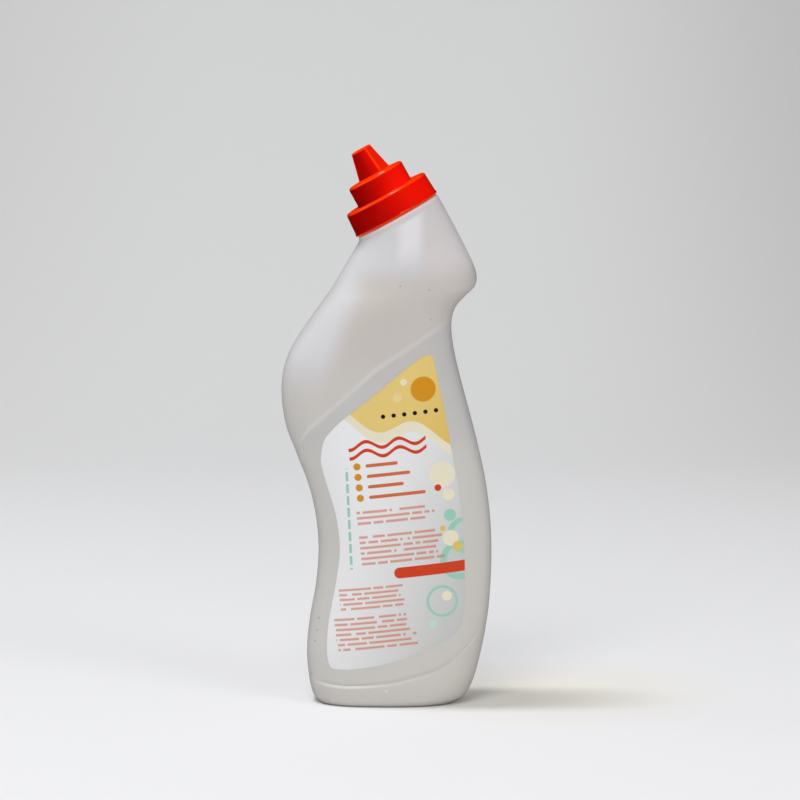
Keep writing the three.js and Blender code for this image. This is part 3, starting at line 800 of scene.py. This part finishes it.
def bottle_material():
    """Satin, slightly translucent white: warmer and darker where the gel stands behind the wall."""
    mat, shader = material("frosted_white_plastic")
    n = Nodes(mat)
    along = n.sum((n.x, neck_axis[0]), (n.z, neck_axis[1]), (neck_axis @ RIM_CENTRE, -1))
    gel = n.mix(n.span(n.z, 150, 195), GEL_LOW, GEL_HIGH)
    level = n.sum((n.z, 1), (n.x, -0.03), (n.noise(16), 6))
    tone = n.mix(n.span(level, GEL_LEVEL + 2, GEL_LEVEL + 16), gel, neck_tone(n, along))
    # Painted highlight: a pale cool band down the left shoulder, where it faces the light
    shoulder = n.sum((n.x, 1), (n.z, -0.333), (n.noise(12), 8))
    shoulder = n.both(n.span(shoulder, -78, -92), n.span(n.z, 155, 190))
    tone = n.over(tone, shoulder, COOL_SHEEN, 0.75)
    tone = n.over(tone, n.span(n.noise(14, 3), 0.35, 0.68), GEL_CLOUD, 0.3)
    tone = panel_tone(n, tone)
    # Pale pink just under the cap's rim: partly the thinner wall there, partly painted red light thrown
    # from the cap
    tone = n.over(tone, n.span(along, -2.2, -0.9), COLLAR_WALL_AND_BOUNCE)
    tone = n.over(tone, n.span(n.z, 16, 0), FOOT_SHADE, 0.4)
    tone = specks(n, tone, DARK_SPECKS, 0.3, DARK_MARK, 0.45)
    tone = specks(n, tone, LIGHT_SPECKS, 0.4, LIGHT_MARK, 0.5)
    n.link(tone, shader.inputs["Base Color"])
    n.link(n.span(n.noise(260, 2), 0.3, 0.7, 0.33, 0.41), shader.inputs["Roughness"])
    shader.inputs["Subsurface Weight"].default_value = 0.25
    shader.inputs["Subsurface Radius"].default_value = (1.0, 0.92, 0.85)
    shader.inputs["Subsurface Scale"].default_value = 0.002
    grain = n.bump(n.noise(900, 2), 0.00003, 0.4)
    ripple = n.bump(n.noise(34, 1), 0.0006, 0.25, grain)
    seam = n.span(n.math("ABSOLUTE", n.y), 0.35, 0.1)
    n.link(n.bump(seam, 0.00012, 0.8, ripple), shader.inputs["Normal"])
    return mat


# The cap's reds, among them painted shade and painted highlights
RED_SHADOW_SIDE = rgb(158, 2, 1)
RED_LIT_SIDE = rgb(252, 18, 5)
RED_SWIRL = rgb(255, 40, 10)
RED_LIT_FACE = rgb(254, 38, 6)
RED_EDGE_GLINT = rgb(255, 62, 6)
RED_SHADE = rgb(170, 4, 2)
LIT_FLAT_LOW = rgb(240, 44, 5)
LIT_FLAT_HIGH = rgb(250, 58, 8)

# How squarely a face looks along the neck to count as a flat
FLAT_FACING = 0.97


def cap_edge_glints(n, along, radius, corner):
    """A mask of painted highlights on the edges of the rim and both steps, and on the top's corners and
    end.
    """
    rim = n.within(along, -0.5, 0.85)
    wide = n.both(n.within(along, CAP_STEP - 1.1, CAP_STEP + 0.6), n.span(radius, 17, 18))
    middle = n.both(n.within(along, MIDDLE_TOP - 1.1, MIDDLE_TOP + 0.6), n.span(radius, 20, 19))
    tip = n.span(along, CAP_TOP - 1.3, CAP_TOP - 0.6)
    return n.either(n.either(wide, middle), n.either(rim, n.either(corner, tip)))


def cap_material():
    """Glossy red moulding, with painted shade deepening its red on the left side and painted highlights
    in orange on its edges and one face.
    """
    mat, shader = material("glossy_red_plastic")
    n = Nodes(mat)
    x = n.math("SUBTRACT", n.x, RIM_CENTRE[0] + SHIFT)
    z = n.math("SUBTRACT", n.z, RIM_CENTRE[1])
    along = n.sum((x, neck_axis[0]), (z, neck_axis[1]))
    across = n.sum((x, neck_across[0]), (z, neck_across[1]))
    radius = n.math("SQRT", n.sum((n.both(across, across), 1), (n.both(n.y, n.y), 1)))
    side = n.math("DIVIDE", across, n.math("MAXIMUM", radius, 1))
    # Painted shade and light: the red deepens towards the left side and brightens towards the right
    tone = n.mix(n.span(side, -0.9, 0.95), RED_SHADOW_SIDE, RED_LIT_SIDE)
    tone = n.over(tone, n.span(n.noise(45, 3), 0.3, 0.7), RED_SWIRL, 0.12)
    turned_x = n.sum((across, math.cos(TOP_TURN)), (n.y, math.sin(TOP_TURN)))
    turned_y = n.sum((across, -math.sin(TOP_TURN)), (n.y, math.cos(TOP_TURN)))
    far_x = n.math("ABSOLUTE", turned_x)
    far_y = n.math("ABSOLUTE", turned_y)
    on_top = n.span(along, MIDDLE_TOP + 0.5, MIDDLE_TOP + 1.5)
    # Painted light: the face of the square top turned to the right, in a brighter orange-red
    face = n.both(n.span(n.math("SUBTRACT", turned_x, far_y), 0, 0.3), on_top)
    tone = n.over(tone, face, RED_LIT_FACE, 0.85)
    # Painted highlights on the top's corners, and on the edges of the rim, steps and end
    squareness = n.math("DIVIDE", n.math("MINIMUM", far_x, far_y), n.math("MAXIMUM", far_x, far_y))
    corner = n.both(n.span(squareness, 0.84, 0.94), on_top)
    tone = n.over(tone, cap_edge_glints(n, along, radius, corner), RED_EDGE_GLINT)
    shade = n.both(n.within(along, 0.95, 1.5, 0.2), n.span(along, 3, 1))
    tone = n.over(tone, shade, RED_SHADE, 0.5)
    n.link(tone, shader.inputs["Base Color"])
    n.link(n.span(n.noise(220, 2), 0.3, 0.7, 0.05, 0.1), shader.inputs["Roughness"])
    shader.inputs["IOR"].default_value = 1.46
    n.link(n.bump(n.noise(90, 2), 0.0002, 0.1), shader.inputs["Normal"])
    return mat


def cap_flat_material():
    """The flats on top of the cap's steps: painted light in a brighter orange-red, as lit from above,
    with no shine.
    """
    mat, shader = material("lit_red_flats")
    n = Nodes(mat)
    # Painted light: the flats that face up in a lit orange-red
    tone = n.mix(n.span(n.noise(60), 0.3, 0.7), LIT_FLAT_LOW, LIT_FLAT_HIGH)
    n.link(tone, shader.inputs["Base Color"])
    n.link(n.span(n.noise(300), 0.3, 0.7, 0.5, 0.6), shader.inputs["Roughness"])
    shader.inputs["Specular IOR Level"].default_value = 0.0
    n.link(n.bump(n.noise(900, 2), 0.00003, 0.4), shader.inputs["Normal"])
    return mat


def add_flats(cap, mat):
    """Gives the flats that face along the neck a second material."""
    cap.data.materials.append(mat)
    axis = Vector((neck_axis[0], 0, neck_axis[1]))
    for face in cap.data.polygons:
        face.material_index = int(face.normal.dot(axis) > FLAT_FACING)


def plain_material(name, light, dark, roughness):
    mat, shader = material(name)
    n = Nodes(mat)
    n.link(n.mix(n.span(n.noise(120, 3), 0.35, 0.65), dark, light), shader.inputs["Base Color"])
    rough = n.span(n.noise(500, 2), 0.3, 0.7, roughness - 0.05, roughness + 0.05)
    n.link(rough, shader.inputs["Roughness"])
    n.link(n.bump(n.noise(1400, 2), 0.00003, 0.5), shader.inputs["Normal"])
    return mat


# The label's print: plain fields, spots, waves and bars, in millimetres on axes turned with the print
PRINT_TURN = math.radians(6.2)
GROUND = rgb(243, 243, 243)
GROUND_SHADE = rgb(202, 202, 199)
CREAM = rgb(240, 232, 205)
GOLD = rgb(233, 198, 104)
LIGHT_GOLD = rgb(238, 208, 124)
PALE_GOLD = rgb(240, 216, 150)
AMBER = rgb(222, 150, 10)
ORANGE = rgb(218, 62, 12)
PALE_ORANGE = rgb(218, 110, 62)
MINT = rgb(160, 211, 192)
PALE_MINT = rgb(196, 226, 214)
INK = rgb(28, 26, 26)

# Spots, as [centre, radius, colour], from the top of the label down
FIELD_SPOTS = [((37.5, 166.5), 6.6, AMBER), ((27.6, 171.4), 1.7, CREAM), ((23.4, 163.6), 2.4, PALE_GOLD)]
UPPER_SPOTS = [((42.6, 120.5), 6.8, CREAM), ((44.8, 109.5), 3.1, CREAM), ((39.6, 113.8), 1.8, ORANGE)]
MIDDLE_SPOTS = [((43.4, 86.4), 4.2, CREAM), ((46.6, 81.6), 2.6, GOLD), ((44.4, 98.6), 3.2, MINT),
                ((39.8, 92), 1.5, GOLD)]
LOWER_SPOTS = [((38.2, 56), 2.6, CREAM), ((29.2, 41.8), 2.2, PALE_MINT)]
DOTS = 6
DOT_START = 15
DOT_PITCH = 5.6
DOT_HEIGHT = 154.5
WAVE_HEIGHTS = (140.4, 135.8)
BULLET_X = -1.6
BULLETS = [(129.4, 20), (123.8, 26), (118.2, 22), (112.6, 33)]
SIDE_PITCH = 6.4
BROAD_RINGS = [((51, 87), 9.6), ((47, 74), 10.4)]
FINE_RING = (35.5, 53.5)

# Blocks of fine bars in the place of small print, as [left, right, low, high, pitch]
FINE_BLOCKS = [(-4.6, 36.5, 97.6, 106.4, 2.9), (-4.6, 41, 76, 93, 2.84),
               (-18.5, 18.5, 53, 65.6, 2.52), (-22.6, 21, 31.6, 50.2, 2.66)]
FINE_BAR = 0.46
DASH = 1.3
RAGGED = 6


def print_spots(n, u, v, tone, spots):
    for centre, radius, colour in spots:
        tone = n.over(tone, n.disc(u, v, centre, radius), colour)
    return tone


def print_fields(n, u, v, tone):
    """A gold field over a cream one, both with a wavy foot, and spots and dots on the gold."""
    hump = n.math("SINE", n.math("MULTIPLY", u, 0.15))
    field = n.sum((v, 1), (hump, 5), (u, 0.32))
    tone = n.over(tone, n.span(field, 149.3, 149.7), CREAM)
    gold = n.mix(n.span(n.sum((u, 1), (v, -1)), -140, -90), LIGHT_GOLD, GOLD)
    tone = n.over(tone, n.span(field, 154.9, 155.3), gold)
    tone = print_spots(n, u, v, tone, FIELD_SPOTS)
    for i in range(DOTS):
        dot = n.disc(u, v, (DOT_START + DOT_PITCH * i, DOT_HEIGHT), 1.15)
        tone = n.over(tone, dot, INK)
    return tone


def print_waves(n, u, v, tone):
    """Two orange waves, one over the other."""
    wave = n.math("MULTIPLY", n.math("SINE", n.math("MULTIPLY", u, 0.36)), 1.9)
    for height in WAVE_HEIGHTS:
        off = n.math("ABSOLUTE", n.math("SUBTRACT", n.math("SUBTRACT", v, height), wave))
        stroke = n.both(n.span(off, 1.1, 0.8), n.within(u, -5, 36))
        tone = n.over(tone, stroke, ORANGE)
    return tone


def print_rows(n, u, v, tone):
    """Amber spots with a bar beside each, and a line of mint dashes up the left side."""
    for height, length in BULLETS:
        tone = n.over(tone, n.disc(u, v, (BULLET_X, height), 1.9), AMBER)
        tone = n.over(tone, n.bar(u, v, (3, length), (height - 0.9, height + 0.9)), PALE_ORANGE)
    dashes = n.within(n.math("FRACT", n.math("DIVIDE", v, SIDE_PITCH)), 0.1, 0.86, 0.03)
    stripe = n.within(n.sum((u, 1), (v, -0.06)), -15.6, -14.2)
    return n.over(tone, n.both(dashes, n.both(stripe, n.within(v, 75, 129))), MINT)


def print_rings(n, u, v, tone):
    """Mint rings and spots down the right side, and the orange bar that runs into them."""
    for centre, radius in BROAD_RINGS:
        outer = n.disc(u, v, centre, radius)
        inner = n.disc(u, v, (centre[0] + 0.8, centre[1] + 0.4), radius * 0.72)
        tone = n.over(tone, n.math("SUBTRACT", outer, n.math("MULTIPLY", inner, 0.82)), MINT)
    tone = print_spots(n, u, v, tone, MIDDLE_SPOTS)
    tone = n.over(tone, n.bar(u, v, (11.8, 60), (68, 73.8)), ORANGE)
    ring = n.math("SUBTRACT", n.disc(u, v, FINE_RING, 8.4), n.disc(u, v, FINE_RING, 7.0))
    tone = n.over(tone, ring, MINT)
    return print_spots(n, u, v, tone, LOWER_SPOTS)


def fine_bars(n, u, v, block):
    """A block of thin broken bars with ragged right ends."""
    left, right, low, high, pitch = block
    rows = n.math("DIVIDE", n.math("SUBTRACT", v, low), pitch)
    row = n.math("FLOOR", rows)
    line = n.within(n.math("FRACT", rows), 0.5 - FINE_BAR / 2, 0.5 + FINE_BAR / 2, 0.12)
    ragged = n.math("MULTIPLY_ADD", n.chance(row, right), -RAGGED, right)
    start = n.span(u, left - 0.1, left + 0.1)
    end = n.span(n.math("SUBTRACT", ragged, u), -0.1, 0.1)
    broken = n.span(n.chance(n.math("FLOOR", n.math("DIVIDE", u, DASH)), row), 0.14, 0.145)
    block_mask = n.both(n.within(v, low, high), n.both(start, end))
    return n.both(n.both(line, broken), block_mask)


def label_material():
    """Printed satin film, whose white turns greyer towards the lower right."""
    mat, shader = material("printed_label")
    n = Nodes(mat)
    turn_cos = math.cos(PRINT_TURN)
    turn_sin = math.sin(PRINT_TURN)
    u = n.sum((n.x, turn_cos), (n.z, turn_sin))
    v = n.sum((n.x, -turn_sin), (n.z, turn_cos))
    tone = n.mix(n.span(n.sum((n.x, 1), (n.z, -0.35)), -60, 35), GROUND, GROUND_SHADE)
    tone = print_fields(n, u, v, tone)
    tone = print_waves(n, u, v, tone)
    tone = print_spots(n, u, v, tone, UPPER_SPOTS)
    tone = print_rows(n, u, v, tone)
    tone = print_rings(n, u, v, tone)
    for block in FINE_BLOCKS:
        tone = n.over(tone, fine_bars(n, u, v, block), PALE_ORANGE, 0.7)
    n.link(tone, shader.inputs["Base Color"])
    n.link(n.span(n.noise(180, 2), 0.3, 0.7, 0.36, 0.44), shader.inputs["Roughness"])
    n.link(n.bump(n.noise(30, 1), 0.0004, 0.2), shader.inputs["Normal"])
    return mat


def dress(obj, node, body, mat):
    """Puts a piece in a node's place, on its body, with its material."""
    obj.data.materials.clear()
    obj.data.materials.append(mat)
    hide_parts(node)
    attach(obj, body)


def build_pieces():
    dress(bottle_mesh(), "bottle", "bottle", bottle_material())
    gel = plain_material("cloudy_gel", rgb(226, 224, 220), rgb(218, 216, 211), 0.2)
    dress(gel_mesh(), "gel_contents", "bottle", gel)
    dress(label_mesh(), "front_label", "bottle", label_material())
    insert = plain_material("soft_white_plastic", rgb(240, 239, 234), rgb(232, 231, 226), 0.4)
    dress(insert_mesh(), "nozzle_insert", "bottle", insert)
    foam = plain_material("white_foam", rgb(243, 242, 238), rgb(230, 229, 224), 0.8)
    dress(ring_mesh(), "sealing_ring", "sealing_ring", foam)
    cap = cap_mesh()
    dress(cap, "cap", "cap", cap_material())
    add_flats(cap, cap_flat_material())


# The camera, in metres
CAMERA_PLACE = (0.00712, -2.2, 0.410)
CAMERA_DOWN = math.radians(6.456)
CAMERA_LENS = 187.4
CAMERA_SENSOR = 36


def add_camera():
    data = bpy.data.cameras.new("camera")
    data.sensor_width = CAMERA_SENSOR
    data.sensor_height = CAMERA_SENSOR
    data.sensor_fit = "HORIZONTAL"
    data.lens = CAMERA_LENS
    camera = bpy.data.objects.new("camera", data)
    camera.location = CAMERA_PLACE
    camera.rotation_euler = (math.pi / 2 - CAMERA_DOWN, 0, 0)
    bpy.context.scene.collection.objects.link(camera)
    bpy.context.scene.camera = camera


# The stage, in metres: a floor that bends up into a backdrop
STAGE_HALF = 4.0
STAGE_FRONT = -3.0
STAGE_NEAR = -0.5
BEND_START = 1.0
BEND_RADIUS = 1.4
STAGE_TOP = 4.0
FLOOR_NEAR = rgb(238, 238, 240)
FLOOR_FAR = rgb(250, 250, 249)
FLOOR_RIGHT = rgb(226, 224, 223)
FLOOR_LEFT = rgb(240, 239, 238)
FLOOR_WARM_SHADOW = rgb(238, 234, 223)


def floor_material():
    """Matt and pale: a little darker to the right and left, with a warm painted shadow beside the
    bottle's foot.
    """
    mat, shader = material("pale_floor")
    n = Nodes(mat)
    behind = n.span(n.y, 200, 1500)
    tone = n.mix(n.span(n.y, -100, 1900), FLOOR_NEAR, FLOOR_FAR)
    tone = n.over(tone, n.both(n.span(n.x, 100, 520), behind), FLOOR_RIGHT)
    tone = n.over(tone, n.both(n.span(n.x, -150, -520), behind), FLOOR_LEFT)
    # Painted shadow: a warm darker patch on the floor right of the bottle's foot
    tone = n.over(tone, n.disc(n.x, n.y, (85, 20), 70, 55), FLOOR_WARM_SHADOW, 0.8)
    n.link(tone, shader.inputs["Base Color"])
    shader.inputs["Roughness"].default_value = 0.9
    shader.inputs["Specular IOR Level"].default_value = 0.1
    return mat


def add_floor():
    """A pale floor that curves up into a backdrop."""
    mesh = bpy.data.meshes.new("floor")
    bend = [(STAGE_FRONT, 0.0), (STAGE_NEAR, 0.0), (BEND_START, 0.0)]
    for a in np.linspace(0.1, math.pi / 2, 16):
        bend.append((BEND_START + BEND_RADIUS * math.sin(a), BEND_RADIUS * (1 - math.cos(a))))
    bend.append((BEND_START + BEND_RADIUS, STAGE_TOP))
    points = [(side * STAGE_HALF, y, z) for y, z in bend for side in (-1, 1)]
    faces = [(2 * i, 2 * i + 1, 2 * i + 3, 2 * i + 2) for i in range(len(bend) - 1)]
    mesh.from_pydata(points, [], faces)
    mesh.shade_smooth()
    mesh.materials.append(floor_material())
    floor = bpy.data.objects.new("floor", mesh)
    bpy.context.scene.collection.objects.link(floor)
    floor.visible_glossy = False


WORLD_COLOUR = (0.97, 0.98, 1.0, 1)
WORLD_STRENGTH = 0.34
LAMP_TARGET = (0, 0, 0.2)


def add_area(name, place, size, watts, colour=(1, 1, 1), glossy=True, stretch=1):
    """An oval area lamp that faces the bottle's middle."""
    data = bpy.data.lights.new(name, "AREA")
    data.shape = "ELLIPSE"
    data.size = size
    data.size_y = size * stretch
    data.energy = watts
    data.color = colour
    light = bpy.data.objects.new(name, data)
    light.visible_glossy = glossy
    light.location = place
    direction = Vector(LAMP_TARGET) - Vector(place)
    light.rotation_euler = direction.to_track_quat("-Z", "Y").to_euler()
    bpy.context.scene.collection.objects.link(light)


def add_light():
    scene = bpy.context.scene
    scene.view_settings.view_transform = "Standard"
    world = bpy.data.worlds.new("studio")
    world.use_nodes = True
    background = world.node_tree.nodes["Background"]
    background.inputs["Color"].default_value = WORLD_COLOUR
    background.inputs["Strength"].default_value = WORLD_STRENGTH
    world.cycles_visibility.glossy = False
    scene.world = world
    add_area("spark", (-0.46, 0.0, 1.9), 0.17, 14, stretch=4)
    add_area("front", (-0.4, -1.65, 1.9), 1.2, 19, glossy=False)
    add_area("fill", (1.5, -1.4, 1.0), 1.0, 8.5, glossy=False)
    add_area("rim", (-1.7, 0.5, 1.1), 1.0, 2, (0.86, 0.93, 1.0))


build_pieces()
add_camera()
add_floor()
add_light()
